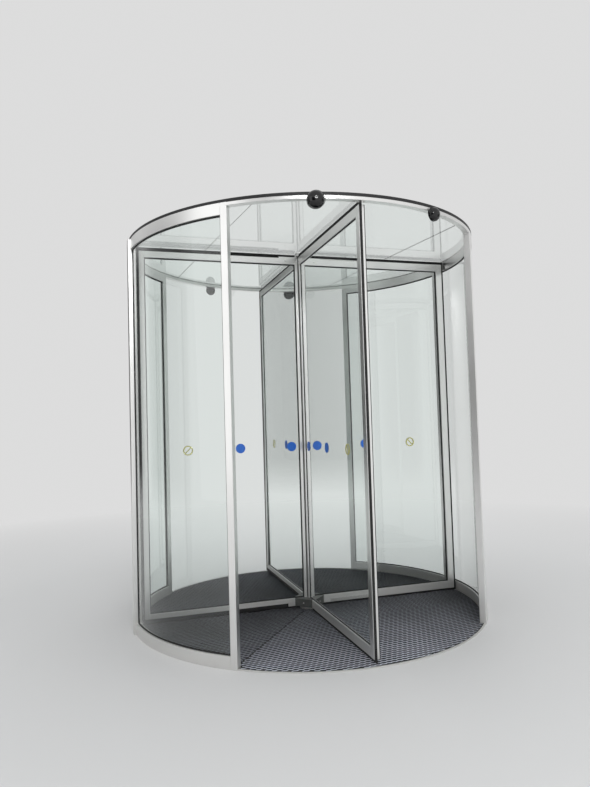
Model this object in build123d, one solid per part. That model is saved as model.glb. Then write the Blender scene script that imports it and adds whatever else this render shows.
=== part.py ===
from build123d import *
import math
import os

os.makedirs("parts", exist_ok=True)

# Drum circle and heights, from the floor centre
DRUM_R = 1350.0
FRAME_DEPTH = 45.0
OVERALL_H = 2840.0
TRIM_H = 20.0
HEADER_H = 23.0
TOP_RAIL_H = 75.0
BOTTOM_RAIL_H = 78.0
POST_W = 45.0
OPENING_HALF_DEG = 43.9
WALL_POST_W = 50.0
WALL_POST_PROUD = 15.0
EDGE_BREAK = 2.0

# Glass
SCREEN_GLASS_T = 12.0
CEILING_GLASS_T = 12.0
WING_GLASS_T = 10.0
GLASS_BITE = 12.0
GLASS_SLOT_GAP = 0.3
TRIM_WALL_T = 10.0
CEILING_SEAM_X = 756.0
CEILING_SEAM_W = 4.0
TRIM_LIP = 38.0

# Floor
MAT_T = 8.0
MAT_GAP = 0.3
EDGE_STRIP_W = 10.0
EDGE_STRIP_INSET = 4.0

# Wings
RUNNING_GAP = 5.0
WING_REST_DEG = -6.2
WING_T = 36.0
SHAFT_SIDE = 44.0
INNER_STILE_W = 24.0
OUTER_STILE_W = 56.0
WING_RAIL_H = 60.0
TIP_SEAL = 13.0
FOOT_SEAL = 14.0
HEAD_SEAL = 22.0
SEAL_T = 12.5
SEAL_WALL = 2.5
SEAL_FOOT = 6.0
EDGING_T = 3.0
EDGING_TIP_W = 18.0
EDGING_FOOT_W = 25.0
EDGING_HEAD_W = 10.0
EDGING_START = 57.0

# Hub and bearings
HUB_REACH = 123.0
JOURNAL_GAP = 0.3
FOOT_JOURNAL_R = 20.0
HEAD_JOURNAL_R = 12.0
FLOOR_BEARING_R = 75.0
FLOOR_BEARING_H = 20.0
BEARING_FLOOR_T = 3.0
TOP_BEARING_R = 32.0
TOP_BEARING_NECK_R = 20.0
TOP_BEARING_UNDER = 14.0
TOP_BEARING_OVER = 10.0
BEARING_CAP_T = 8.0

# Sensors
SENSOR_R = 54.0
SENSOR_BASE = 26.0
SENSOR_DOME = 40.0
SIDE_SENSOR_R = 45.0
SIDE_SENSOR_BASE = 18.0
SIDE_SENSOR_DOME = 28.0
SENSOR_SEAT_GAP = 0.1
SENSOR_DROP = 12.0
SIDE_SENSOR_DROP = 20.0
SENSOR_OFF_DEG = -19.5
SIDE_SENSOR_OFF_DEG = 16.2

# Directions on the plan, in degrees
RIGHT, REAR, LEFT, FRONT = 0.0, 90.0, 180.0, 270.0
QUARTER = 90.0
FULL_TURN = 360.0

# Levels and radii that follow from the sizes above
DRUM_IN_R = DRUM_R - FRAME_DEPTH
GLASS_R = DRUM_R - FRAME_DEPTH / 2
CEILING_Z = OVERALL_H - TRIM_H
HEADER_Z = CEILING_Z - HEADER_H
TOP_RAIL_Z = CEILING_Z - TOP_RAIL_H
CEILING_R = DRUM_R - TRIM_WALL_T
WING_TIP_R = DRUM_IN_R - RUNNING_GAP
WING_FOOT_Z = MAT_T + RUNNING_GAP + FOOT_SEAL
WING_HEAD_Z = CEILING_Z - RUNNING_GAP - HEAD_SEAL
STILE_R = WING_TIP_R - TIP_SEAL
SHAFT_HALF = SHAFT_SIDE / 2
LONG = 4 * DRUM_R


def box_between(x0, x1, y0, y1, z0, z1):
    """Solid box from its six limits."""
    return Pos((x0 + x1) / 2, (y0 + y1) / 2, (z0 + z1) / 2) * Box(x1 - x0, y1 - y0, z1 - z0)


def turned(section, start_deg, end_deg):
    """Section of (radius, height) points swept round the upright axis."""
    face = Plane.XZ * make_face(Polyline(*section, close=True))
    return Rot(0, 0, start_deg) * revolve(face, Axis.Z, end_deg - start_deg)


def band(r0, r1, z0, z1):
    """Plain rectangular section."""
    return [(r0, z0), (r1, z0), (r1, z1), (r0, z1)]


def soft_band(r0, r1, z0, z1):
    """Rectangular section with all four edges broken."""
    e = EDGE_BREAK
    return [
        (r0 + e, z0), (r1 - e, z0), (r1, z0 + e), (r1, z1 - e),
        (r1 - e, z1), (r0 + e, z1), (r0, z1 - e), (r0, z0 + e),
    ]


def channel_section(seat_z, height, up):
    """Rail section with a glazing slot on the side away from its seat."""
    e = EDGE_BREAK
    half = SCREEN_GLASS_T / 2 + GLASS_SLOT_GAP
    edge = seat_z + up * height
    slot = edge - up * GLASS_BITE
    return [
        (DRUM_IN_R, seat_z), (DRUM_R, seat_z), (DRUM_R, edge - up * e), (DRUM_R - e, edge),
        (GLASS_R + half, edge), (GLASS_R + half, slot), (GLASS_R - half, slot),
        (GLASS_R - half, edge), (DRUM_IN_R + e, edge), (DRUM_IN_R, edge - up * e),
    ]


def offset_deg(distance):
    """Angle at the glass radius that a sideways distance spans."""
    return math.degrees(math.asin(distance / GLASS_R))


def post_blank(centre_deg):
    """Room that an opening post takes out of the curved bars."""
    half = POST_W / 2
    inner, outer = DRUM_IN_R - POST_W, DRUM_R + POST_W
    return Rot(0, 0, centre_deg) * box_between(inner, outer, -half, half, 0, OVERALL_H)


def wall_blank(centre_deg):
    """Room that a wall post takes out of the curved bars."""
    half = WALL_POST_W / 2
    inner, outer = DRUM_IN_R - WALL_POST_W, DRUM_R + WALL_POST_W
    return Rot(0, 0, centre_deg) * box_between(inner, outer, -half, half, 0, OVERALL_H)


def glass_ends(post_deg, wall_deg):
    """Start and end angles of a curved pane let into its post and wall post."""
    side = 1 if wall_deg > post_deg else -1
    post_end = post_deg + side * offset_deg(POST_W / 2 - GLASS_BITE)
    wall_end = wall_deg - side * offset_deg(WALL_POST_W / 2 - GLASS_BITE)
    return min(post_end, wall_end), max(post_end, wall_end)


def screen_glass(post_deg, wall_deg, gap=0.0):
    """Curved pane; a gap above zero gives the cutter for its slots."""
    half = SCREEN_GLASS_T / 2 + gap
    low = BOTTOM_RAIL_H - GLASS_BITE
    high = TOP_RAIL_Z + GLASS_BITE
    start, end = glass_ends(post_deg, wall_deg)
    widen = offset_deg(gap) if gap else 0.0
    return turned(band(GLASS_R - half, GLASS_R + half, low, high), start - widen, end + widen)


def softened(solid):
    """Breaks the upright edges of a bar."""
    return chamfer(solid.edges().filter_by(Axis.Z), EDGE_BREAK)


def opening_post(post_deg, wall_deg):
    """Opening post from the floor to the ceiling trim, slotted for its pane."""
    half = POST_W / 2
    bar = softened(box_between(DRUM_IN_R, DRUM_R, -half, half, 0, CEILING_Z))
    return Rot(0, 0, post_deg) * bar - screen_glass(post_deg, wall_deg, GLASS_SLOT_GAP)


def wall_post(wall_deg, front_deg, rear_deg):
    """Wall post slotted for the panes on both sides of the wall line."""
    half = WALL_POST_W / 2
    outer = DRUM_R + WALL_POST_PROUD
    bar = softened(box_between(DRUM_IN_R, outer, -half, half, 0, CEILING_Z))
    bar = Rot(0, 0, wall_deg) * bar
    for post_deg in (front_deg, rear_deg):
        bar -= screen_glass(post_deg, wall_deg, GLASS_SLOT_GAP)
    return bar


def side_rail(section, wall_deg, front_deg, rear_deg):
    """Curved rail in two lengths, cut to the posts and the wall post."""
    lengths = []
    for post_deg in (front_deg, rear_deg):
        arc = turned(section, min(post_deg, wall_deg), max(post_deg, wall_deg))
        lengths.append(arc - post_blank(post_deg) - wall_blank(wall_deg))
    return lengths


def header(centre_deg):
    """Slim curved bar over an opening, between its two posts."""
    section = soft_band(DRUM_IN_R, DRUM_R, HEADER_Z, CEILING_Z)
    bar = turned(section, centre_deg - OPENING_HALF_DEG, centre_deg + OPENING_HALF_DEG)
    for side in (-1, 1):
        bar -= post_blank(centre_deg + side * OPENING_HALF_DEG)
    return bar


def ceiling_glass():
    """Round glass ceiling in three sheets, bored for the top bearing."""
    disc = Pos(0, 0, CEILING_Z + CEILING_GLASS_T / 2) * Cylinder(CEILING_R, CEILING_GLASS_T)
    disc -= Pos(0, 0, CEILING_Z) * Cylinder(TOP_BEARING_NECK_R, LONG)
    half = CEILING_SEAM_W / 2
    for x in (-CEILING_SEAM_X, CEILING_SEAM_X):
        disc -= box_between(x - half, x + half, -LONG, LONG, 0, OVERALL_H)
    return disc.solids()


def ceiling_trim():
    """Black ring that covers the edge of the ceiling glass and laps over it."""
    lap_z = CEILING_Z + CEILING_GLASS_T
    e = EDGE_BREAK
    inner = DRUM_R - TRIM_LIP
    edge = CEILING_R + GLASS_SLOT_GAP
    section = [
        (edge, CEILING_Z), (DRUM_R, CEILING_Z), (DRUM_R, OVERALL_H - e), (DRUM_R - e, OVERALL_H),
        (inner + e, OVERALL_H), (inner, OVERALL_H - e), (inner, lap_z), (edge, lap_z),
    ]
    return turned(section, 0, FULL_TURN)


def strip_outer_r():
    """Outer radius of the bright strip that edges the mat in the openings."""
    return DRUM_R - EDGE_STRIP_INSET


def opening_zone(centre_deg, r_out, z1):
    """Sector between the two posts of an opening, clear of both by the mat gap."""
    sector = turned(band(DRUM_IN_R - FRAME_DEPTH, r_out, 0, z1),
                    centre_deg - OPENING_HALF_DEG, centre_deg + OPENING_HALF_DEG)
    half = POST_W / 2 + MAT_GAP
    for side in (-1, 1):
        near, far = -half, half
        post = box_between(DRUM_IN_R - MAT_GAP, DRUM_R, near, far, -MAT_T, LONG)
        sector -= Rot(0, 0, centre_deg + side * OPENING_HALF_DEG) * post
    return sector


def entrance_mat():
    """Mat that fills the drum floor and runs out to the strips in the openings."""
    disc = Pos(0, 0, MAT_T / 2) * Cylinder(DRUM_IN_R - MAT_GAP, MAT_T)
    for centre_deg in (FRONT, REAR):
        disc += opening_zone(centre_deg, strip_outer_r() - EDGE_STRIP_W, MAT_T)
    return disc - Pos(0, 0, MAT_T / 2) * Cylinder(FLOOR_BEARING_R + MAT_GAP, LONG)


def mat_edge_strips():
    """Bright strips across the front and the rear opening."""
    r1 = strip_outer_r()
    inside = Cylinder(r1 - EDGE_STRIP_W, LONG)
    return [opening_zone(centre_deg, r1, MAT_T) - inside for centre_deg in (FRONT, REAR)]


def floor_bearing():
    """Low round housing that takes the foot of the shaft."""
    r, h, e = FLOOR_BEARING_R, FLOOR_BEARING_H, EDGE_BREAK
    bore = FOOT_JOURNAL_R + JOURNAL_GAP
    floor = BEARING_FLOOR_T - JOURNAL_GAP
    return turned([(0, 0), (r, 0), (r, h - e), (r - e, h), (bore, h), (bore, floor), (0, floor)],
                  0, FULL_TURN)


def top_bearing():
    """Flanged boss clamped through the ceiling glass, bored from below."""
    low = CEILING_Z - TOP_BEARING_UNDER
    lap = CEILING_Z + CEILING_GLASS_T
    high = lap + TOP_BEARING_OVER
    bore = HEAD_JOURNAL_R + JOURNAL_GAP
    r, neck, e = TOP_BEARING_R, TOP_BEARING_NECK_R, EDGE_BREAK
    return turned([
        (bore, low), (r - e, low), (r, low + e), (r, CEILING_Z), (neck, CEILING_Z), (neck, lap),
        (r, lap), (r, high - e), (r - e, high), (0, high), (0, high - BEARING_CAP_T),
        (bore, high - BEARING_CAP_T),
    ], 0, FULL_TURN)


def sensor(centre_deg, drop, radius, base, dome):
    """Domed sensor on the outer face of a header, hanging a little below it."""
    z = HEADER_Z - drop
    start = DRUM_R - EDGE_BREAK
    rim = DRUM_R + base
    bulge = (rim + dome * math.sin(math.radians(QUARTER / 2)),
             radius * math.cos(math.radians(QUARTER / 2)))
    profile = Polyline((rim, radius), (start, radius), (start, 0), (rim + dome, 0))
    profile += ThreePointArc((rim + dome, 0), bulge, (rim, radius))
    body = revolve(Plane.XZ * make_face(profile), Axis.X, FULL_TURN)
    seat = Cylinder(DRUM_R + SENSOR_SEAT_GAP, 2 * LONG)
    return Rot(0, 0, centre_deg) * (Pos(0, 0, z) * body) - seat


def frame_u(x0, x1, z0, z1, tip, foot, head, y0, y1):
    """Three-sided strip: along the foot, up the tip and along the head of a wing."""
    outer = box_between(x0, x1, y0, y1, z0, z1)
    return outer - box_between(x0, x1 - tip, y0, y1, z0 + foot, z1 - head)


def wing_seal():
    """Brush round the free edges near the trailing face, its foot let into the frame."""
    side = SEAL_WALL - WING_T / 2
    low = WING_FOOT_Z - FOOT_SEAL
    start = TOP_BEARING_R + RUNNING_GAP
    strip = frame_u(start, WING_TIP_R, low, WING_HEAD_Z + HEAD_SEAL,
                    TIP_SEAL + SEAL_FOOT, FOOT_SEAL + SEAL_FOOT, HEAD_SEAL + SEAL_FOOT,
                    side, side + SEAL_T)
    return strip - box_between(0, HUB_REACH, -WING_T, WING_T, 0, WING_FOOT_Z + WING_RAIL_H)


def wing_edging():
    """Rubber edging on the leading face of a wing."""
    face = WING_T / 2
    return frame_u(HUB_REACH + EDGING_START, STILE_R, WING_FOOT_Z, WING_HEAD_Z,
                   EDGING_TIP_W, EDGING_FOOT_W, EDGING_HEAD_W, face, face + EDGING_T)


def wing_glass():
    """Flat pane let into both stiles and both rails."""
    half = WING_GLASS_T / 2
    return box_between(SHAFT_HALF + INNER_STILE_W - GLASS_BITE, STILE_R - OUTER_STILE_W + GLASS_BITE,
                       -half, half, WING_FOOT_Z + WING_RAIL_H - GLASS_BITE,
                       WING_HEAD_Z - WING_RAIL_H + GLASS_BITE)


def rail_levels():
    """Lower and upper limits of the bottom and top rails."""
    return [(WING_FOOT_Z, WING_FOOT_Z + WING_RAIL_H), (WING_HEAD_Z - WING_RAIL_H, WING_HEAD_Z)]


def wing_rails():
    """Bottom rail from the hub and top rail from the shaft, slotted for pane and seal."""
    half = WING_T / 2
    rails = []
    for start, (z0, z1) in zip((HUB_REACH, SHAFT_HALF), rail_levels()):
        bar = box_between(start, STILE_R - OUTER_STILE_W, -half, half, z0, z1)
        bar = chamfer(bar.edges().filter_by(Axis.X), EDGE_BREAK)
        rails.append(bar - wing_glass() - wing_seal())
    return rails


def wing_stiles():
    """Inner stile between the hub and the top rail, and full-height outer stile."""
    half = WING_T / 2
    (_, low), (high, _) = rail_levels()
    inner = softened(box_between(SHAFT_HALF, SHAFT_HALF + INNER_STILE_W, -half, half, low, high))
    outer = softened(box_between(STILE_R - OUTER_STILE_W, STILE_R, -half, half, WING_FOOT_Z, WING_HEAD_Z))
    return [inner - wing_glass(), outer - wing_glass() - wing_seal()]


def around(solids, angle):
    """Turns pieces to their place round the shaft, where the wings rest."""
    return [Rot(0, 0, angle + WING_REST_DEG) * solid for solid in solids]


def central_shaft():
    """Square shaft with a round journal at each end."""
    half = SHAFT_HALF
    bar = softened(box_between(-half, half, -half, half, WING_FOOT_Z, WING_HEAD_Z))
    foot_z = BEARING_FLOOR_T
    head_z = CEILING_Z + CEILING_GLASS_T + TOP_BEARING_OVER - BEARING_CAP_T - JOURNAL_GAP
    bar += Pos(0, 0, (foot_z + WING_FOOT_Z) / 2) * Cylinder(FOOT_JOURNAL_R, WING_FOOT_Z - foot_z)
    return bar + Pos(0, 0, (head_z + WING_HEAD_Z) / 2) * Cylinder(HEAD_JOURNAL_R, head_z - WING_HEAD_Z)


def foot_hub():
    """Square block set cornerwise round the shaft, its corners cut flat to meet the rails."""
    z0, z1 = rail_levels()[0]
    half = (HUB_REACH + WING_T / 2) / math.sqrt(2)
    block = Rot(0, 0, QUARTER / 2) * box_between(-half, half, -half, half, z0, z1)
    block = block & box_between(-HUB_REACH, HUB_REACH, -HUB_REACH, HUB_REACH, z0, z1)
    block -= softened(box_between(-SHAFT_HALF, SHAFT_HALF, -SHAFT_HALF, SHAFT_HALF, z0, z1))
    for angle in (RIGHT, REAR, LEFT, FRONT):
        block -= Rot(0, 0, angle) * wing_glass()
    return block


def save(node, solids):
    """Writes one node; like pieces that share it stay separate solids."""
    solids = [part for item in solids for part in item.solids()]
    shape = solids[0] if len(solids) == 1 else Compound(children=solids)
    export_step(shape, os.path.join("parts", node + ".step"))


def save_drum():
    """Writes every fixed piece."""
    front_left, front_right = FRONT - OPENING_HALF_DEG, FRONT + OPENING_HALF_DEG
    rear_left, rear_right = REAR + OPENING_HALF_DEG, REAR - OPENING_HALF_DEG
    sides = {
        "left": (LEFT, front_left, rear_left),
        "right": (RIGHT, front_right - FULL_TURN, rear_right),
    }
    for side, (wall_deg, front_deg, rear_deg) in sides.items():
        low = channel_section(0, BOTTOM_RAIL_H, 1)
        high = channel_section(CEILING_Z, TOP_RAIL_H, -1)
        save(side + "_bottom_rail", side_rail(low, wall_deg, front_deg, rear_deg))
        save(side + "_top_rail", side_rail(high, wall_deg, front_deg, rear_deg))
        save(side + "_wall_post", [wall_post(wall_deg, front_deg, rear_deg)])
        for end, post_deg in (("front", front_deg), ("rear", rear_deg)):
            save(f"{end}_{side}_post", [opening_post(post_deg, wall_deg)])
            save(f"{end}_{side}_glass", [screen_glass(post_deg, wall_deg)])
    for end, centre_deg in (("front", FRONT), ("rear", REAR)):
        save(end + "_header", [header(centre_deg)])
        large_deg, small_deg = centre_deg + SENSOR_OFF_DEG, centre_deg + SIDE_SENSOR_OFF_DEG
        large = sensor(large_deg, SENSOR_DROP, SENSOR_R, SENSOR_BASE, SENSOR_DOME)
        small = sensor(small_deg, SIDE_SENSOR_DROP, SIDE_SENSOR_R, SIDE_SENSOR_BASE, SIDE_SENSOR_DOME)
        save(end + "_sensor", [large])
        save(end + "_side_sensor", [small])
    save("ceiling_glass", ceiling_glass())
    save("ceiling_trim", [ceiling_trim()])
    save("entrance_mat", [entrance_mat()])
    save("mat_edge_strips", mat_edge_strips())
    save("floor_bearing", [floor_bearing()])
    save("top_bearing", [top_bearing()])


def save_wings():
    """Writes every piece that turns."""
    save("central_shaft", around([central_shaft()], RIGHT))
    save("foot_hub", around([foot_hub()], RIGHT))
    for name, angle in (("right", RIGHT), ("rear", REAR), ("left", LEFT), ("front", FRONT)):
        save(name + "_wing_rails", around(wing_rails(), angle))
        save(name + "_wing_stiles", around(wing_stiles(), angle))
        save(name + "_wing_glass", around([wing_glass()], angle))
        save(name + "_wing_seals", around([wing_seal(), wing_edging()], angle))


save_drum()
save_wings()
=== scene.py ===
"""Looks of an all-glass revolving door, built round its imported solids."""

import logging
import math
from dataclasses import dataclass, field
from enum import Enum
from typing import Any, Dict, List, Optional, Sequence, Tuple, Union

import bpy
import bmesh
from mathutils import Matrix, Vector


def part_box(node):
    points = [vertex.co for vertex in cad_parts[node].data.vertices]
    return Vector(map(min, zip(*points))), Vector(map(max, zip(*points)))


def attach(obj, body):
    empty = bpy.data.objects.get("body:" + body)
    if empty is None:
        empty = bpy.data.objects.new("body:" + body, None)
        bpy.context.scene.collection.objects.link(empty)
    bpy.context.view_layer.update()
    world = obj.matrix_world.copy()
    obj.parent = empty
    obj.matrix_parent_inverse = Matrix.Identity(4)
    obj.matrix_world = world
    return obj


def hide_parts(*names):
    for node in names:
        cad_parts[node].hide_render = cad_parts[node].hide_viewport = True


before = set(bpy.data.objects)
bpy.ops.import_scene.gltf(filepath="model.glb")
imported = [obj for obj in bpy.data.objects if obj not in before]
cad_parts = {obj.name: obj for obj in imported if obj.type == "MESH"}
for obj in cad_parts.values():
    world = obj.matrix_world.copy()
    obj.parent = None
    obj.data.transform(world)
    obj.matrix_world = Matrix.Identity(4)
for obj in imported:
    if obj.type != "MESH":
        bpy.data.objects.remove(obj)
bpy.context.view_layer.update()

LOG = logging.getLogger("revolving_door")

Point = Tuple[float, float, float]
Colour = Tuple[float, float, float, float]
Section = List[Tuple[float, float]]
Faces = List[Tuple[int, ...]]
Number = Union["Term", float]
Triple = Tuple["Term", "Term", "Term"]
Mark = Tuple[Vector, Vector]
Key = Union[int, str]

DRUM = "drum"
WINGS = "wings"
TAU = 2.0 * math.pi
BOTH_WAYS = (-1.0, 1.0)
MERGE_GAP = 1e-5
ROW_GAP = 0.001
GASKET_SHOULDER = 0.5
GASKET_TIP = 0.4
WINGS_REST_DEG = -6.2
MAT_SEAM_DEG = 46.0


class Grain(Enum):
    """Direction in which a metal bar is brushed."""

    ALONG_X = "x"
    ALONG_Y = "y"
    UPRIGHT = "z"
    ROUND = "round"


class Wing(Enum):
    """The four wings, each with its angle round the shaft in degrees."""

    RIGHT = 0.0
    REAR = 90.0
    LEFT = 180.0
    FRONT = 270.0

    @property
    def label(self) -> str:
        """Name used in node and piece names."""
        return self.name.lower()

    @property
    def grain(self) -> Grain:
        """Brushing direction of this wing's rails."""
        return Grain.ALONG_X if self in (Wing.RIGHT, Wing.LEFT) else Grain.ALONG_Y

    def turn(self) -> Matrix:
        """Matrix that turns a wing drawn along +X to where it rests."""
        return Matrix.Rotation(math.radians(self.value + WINGS_REST_DEG), 4, "Z")


class Term:
    """One output of a node, with arithmetic, so that node maths reads as an expression."""

    def __init__(self, maker: "NodeMaker", node: bpy.types.Node, key: Key = 0) -> None:
        """Keeps a node of a maker's tree and which of its outputs is meant."""
        self.maker, self.node, self.key = maker, node, key

    @property
    def socket(self) -> bpy.types.NodeSocket:
        """The output's socket."""
        return self.node.outputs[self.key]

    def out(self, key: Key) -> "Term":
        """Another output of the same node, by place or name."""
        return Term(self.maker, self.node, key)

    def calc(self, operation: str, *others: Number, swap: bool = False) -> "Term":
        """Adds a Math node.

        Args:
            operation: The Math node's operation.
            others: Further operands.
            swap: Puts this term last.

        Returns:
            The node's result.
        """
        terms = [*others, self] if swap else [self, *others]
        return self.maker.make("ShaderNodeMath", {"operation": operation}, dict(enumerate(terms)))

    def __add__(self, other: Number) -> "Term":
        """Sum."""
        return self.calc("ADD", other)

    __radd__ = __add__

    def __mul__(self, other: Number) -> "Term":
        """Product."""
        return self.calc("MULTIPLY", other)

    __rmul__ = __mul__

    def __sub__(self, other: Number) -> "Term":
        """Difference."""
        return self.calc("SUBTRACT", other)

    def __rsub__(self, other: float) -> "Term":
        """Difference with the term second."""
        return self.calc("SUBTRACT", other, swap=True)

    def __truediv__(self, other: Number) -> "Term":
        """Quotient."""
        return self.calc("DIVIDE", other)

    def __rtruediv__(self, other: float) -> "Term":
        """Quotient with the term second."""
        return self.calc("DIVIDE", other, swap=True)

    def clamped(self) -> "Term":
        """Value held between 0 and 1."""
        return self.calc("MINIMUM", 1.0).calc("MAXIMUM", 0.0)

    def over(self, edge: Number) -> "Term":
        """1 where the value is more than an edge, else 0."""
        return self.calc("GREATER_THAN", edge)

    def with_side(self, other: "Term") -> "Term":
        """Length of the diagonal over this side and another."""
        return (self * self + other * other).calc("SQRT")


class NodeMaker:
    """Adds nodes of any type to one tree."""

    def __init__(self, tree: bpy.types.NodeTree) -> None:
        """Works on the given tree."""
        self.tree = tree

    def make(
        self, kind: str, settings: Optional[Dict[str, Any]] = None, sockets: Optional[Dict[Key, Any]] = None
    ) -> Term:
        """Adds one node.

        Args:
            kind: The node's type.
            settings: Properties of the node, set first.
            sockets: Values or terms for the node's inputs.

        Returns:
            The node's first output.
        """
        node = self.tree.nodes.new(kind)
        for key, value in (settings or {}).items():
            setattr(node, key, value)
        for key, value in (sockets or {}).items():
            if isinstance(value, Term):
                self.tree.links.new(value.socket, node.inputs[key])
            else:
                node.inputs[key].default_value = value
        return Term(self, node)

    def split(self, vector: Term) -> Triple:
        """The three numbers of a vector."""
        parts = self.make("ShaderNodeSeparateXYZ", None, {0: vector})
        return parts, parts.out(1), parts.out(2)

    def joined(self, x: Number, y: Number, z: Number) -> Term:
        """A vector from three numbers."""
        return self.make("ShaderNodeCombineXYZ", None, {0: x, 1: y, 2: z})

    def blended(self, factor: Term, first: Term, second: Term) -> Term:
        """Shader between two shaders."""
        return self.make("ShaderNodeMixShader", None, {0: factor, 1: first, 2: second})


@dataclass(frozen=True)
class Mottle:
    """Patchy noise whose contrast is raised by a gain, less a cut."""

    scale: float
    detail: float
    gain: float
    cut: float


class Skin(NodeMaker):
    """Node tree of one material."""

    def __init__(self, name: str) -> None:
        """Makes an empty material.

        Args:
            name: The material's name.
        """
        self.material = bpy.data.materials.new(name)
        self.material.use_nodes = True
        super().__init__(self.material.node_tree)
        self.tree.nodes.clear()
        self.place = self.make("ShaderNodeTexCoord").out("Object")

    def axes(self) -> Triple:
        """The three coordinates of the point on the object."""
        return self.split(self.place)

    def noise(self, scale: float, detail: float, at: Optional[Term] = None) -> Term:
        """Noise between 0 and 1 at a place, the object's own by default."""
        sockets = {"Vector": at or self.place, "Scale": scale, "Detail": detail}
        return self.make("ShaderNodeTexNoise", None, sockets)

    def mottled(self, mottle: Mottle) -> Term:
        """Patches between 0 and 1."""
        return (self.noise(mottle.scale, mottle.detail) * mottle.gain - mottle.cut).clamped()

    def mixed(self, factor: Term, low: Any, high: Any) -> Term:
        """Colour between two colours."""
        settings = {"data_type": "RGBA", "blend_type": "MIX"}
        return self.make("ShaderNodeMix", settings, {0: factor, 6: low, 7: high}).out(2)

    def bumped(self, height: Term, strength: float, distance: float) -> Term:
        """Normal from a height."""
        sockets = {"Strength": strength, "Distance": distance, "Height": height}
        return self.make("ShaderNodeBump", None, sockets)

    def close(self, surface: Term) -> bpy.types.Material:
        """Ends the tree in a shader."""
        self.make("ShaderNodeOutputMaterial", None, {"Surface": surface})
        return self.material

    def finish(self, **sockets: Any) -> bpy.types.Material:
        """Ends the tree in a Principled shader.

        Args:
            sockets: Shader inputs, with underscores for the spaces in their names.

        Returns:
            The material.
        """
        named = {key.replace("_", " "): value for key, value in sockets.items()}
        return self.close(self.make("ShaderNodeBsdfPrincipled", None, named))


@dataclass(frozen=True)
class Finish:
    """A surface finish that can be made into a material."""

    name: str

    def material(self) -> bpy.types.Material:
        """Builds the material."""
        raise NotImplementedError


@dataclass(frozen=True)
class BrushedSteel(Finish):
    """Satin stainless steel with a fine directional grain."""

    grain: Grain
    pale: Colour = (0.90, 0.90, 0.89, 1.0)
    dull: Colour = (0.77, 0.77, 0.76, 1.0)
    # Darker colour low down: dust, and a painted reflection of the dark floor in the steel near its foot.
    dust_and_reflection_colour: Colour = (0.50, 0.49, 0.47, 1.0)
    roughness: float = 0.30
    grain_roughens: float = 0.12
    smudge_roughens: float = 0.08
    dust_and_reflection_roughens: float = 0.1
    scuffs_roughen: float = 0.3
    mean_marks: float = 0.08
    fine: float = 420.0
    coarse: float = 5.0
    smudge_scale: float = 2.2
    smudge_gain: float = 1.6
    smudge_cut: float = 0.3
    detail: float = 4.0
    dust_and_reflection_gain: float = 1.4
    dust_and_reflection_shows: float = 0.4
    dust_and_reflection_height: float = 0.16
    scuff_height: float = 0.25
    turned_deg: float = 0.0
    bump: Tuple[float, float] = (0.12, 0.0004)

    def _grain_place(self, skin: Skin) -> Term:
        """Coordinates stretched along the brushing.

        Args:
            skin: The material's tree.

        Returns:
            The stretched coordinates.
        """
        east, north, z = skin.axes()
        cosine, sine = math.cos(math.radians(self.turned_deg)), math.sin(math.radians(self.turned_deg))
        x, y = east * cosine + north * sine, north * cosine - east * sine
        if self.grain is Grain.ROUND:
            angle = y.calc("ARCTAN2", x)
            radius = x.with_side(y)
            return skin.joined(angle * radius * self.coarse, radius * self.fine, z * self.fine)
        scales = {
            Grain.ALONG_X: (self.coarse, self.fine, self.fine),
            Grain.ALONG_Y: (self.fine, self.coarse, self.fine),
            Grain.UPRIGHT: (self.fine, self.fine, self.coarse),
        }[self.grain]
        return skin.joined(*(axis * scale for axis, scale in zip((x, y, z), scales)))

    def material(self) -> bpy.types.Material:
        """Builds the material: grain, soft smudges, scuffs, and a little dust low down that is also a
        painted reflection of the dark floor.

        Returns:
            The material.
        """
        skin = Skin(self.name)
        lines = skin.noise(1.0, self.detail, self._grain_place(skin))
        smudge = skin.noise(self.smudge_scale, self.detail)
        height = skin.axes()[2]
        # Dust and painted reflection: darker towards the floor, where the steel would reflect the dark
        # floor.
        dust_and_reflection = ((1.0 - height / self.dust_and_reflection_height).clamped() * smudge * self.dust_and_reflection_gain).clamped()
        scuffs = (1.0 - height / self.scuff_height).clamped()
        clean = skin.mixed((smudge * self.smudge_gain - self.smudge_cut).clamped(), self.dull, self.pale)
        rough = lines * self.grain_roughens + smudge * self.smudge_roughens
        rough = rough + dust_and_reflection * self.dust_and_reflection_roughens + scuffs * self.scuffs_roughen
        return skin.finish(
            Base_Color=skin.mixed(dust_and_reflection * self.dust_and_reflection_shows, clean, self.dust_and_reflection_colour),
            Metallic=1.0,
            Roughness=rough + (self.roughness - self.mean_marks),
            Normal=skin.bumped(lines, *self.bump),
        )


@dataclass(frozen=True)
class ClearGlass(Finish):
    """Toughened clear glass with a faint green body colour."""

    tint: Colour = (0.955, 0.985, 0.973, 1.0)
    refraction: float = 1.46
    ripple_scale: float = 1.7
    marks: Mottle = Mottle(3.5, 5.0, 2.4, 1.3)
    mark_roughness: float = 0.02
    bump: Tuple[float, float] = (0.05, 0.002)

    def material(self) -> bpy.types.Material:
        """Builds the material: roller ripple and faint wiping marks.

        Returns:
            The material.
        """
        skin = Skin(self.name)
        return skin.finish(
            Base_Color=self.tint,
            Roughness=skin.mottled(self.marks) * self.mark_roughness,
            IOR=self.refraction,
            Transmission_Weight=1.0,
            Normal=skin.bumped(skin.noise(self.ripple_scale, 1.0), *self.bump),
        )


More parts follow.
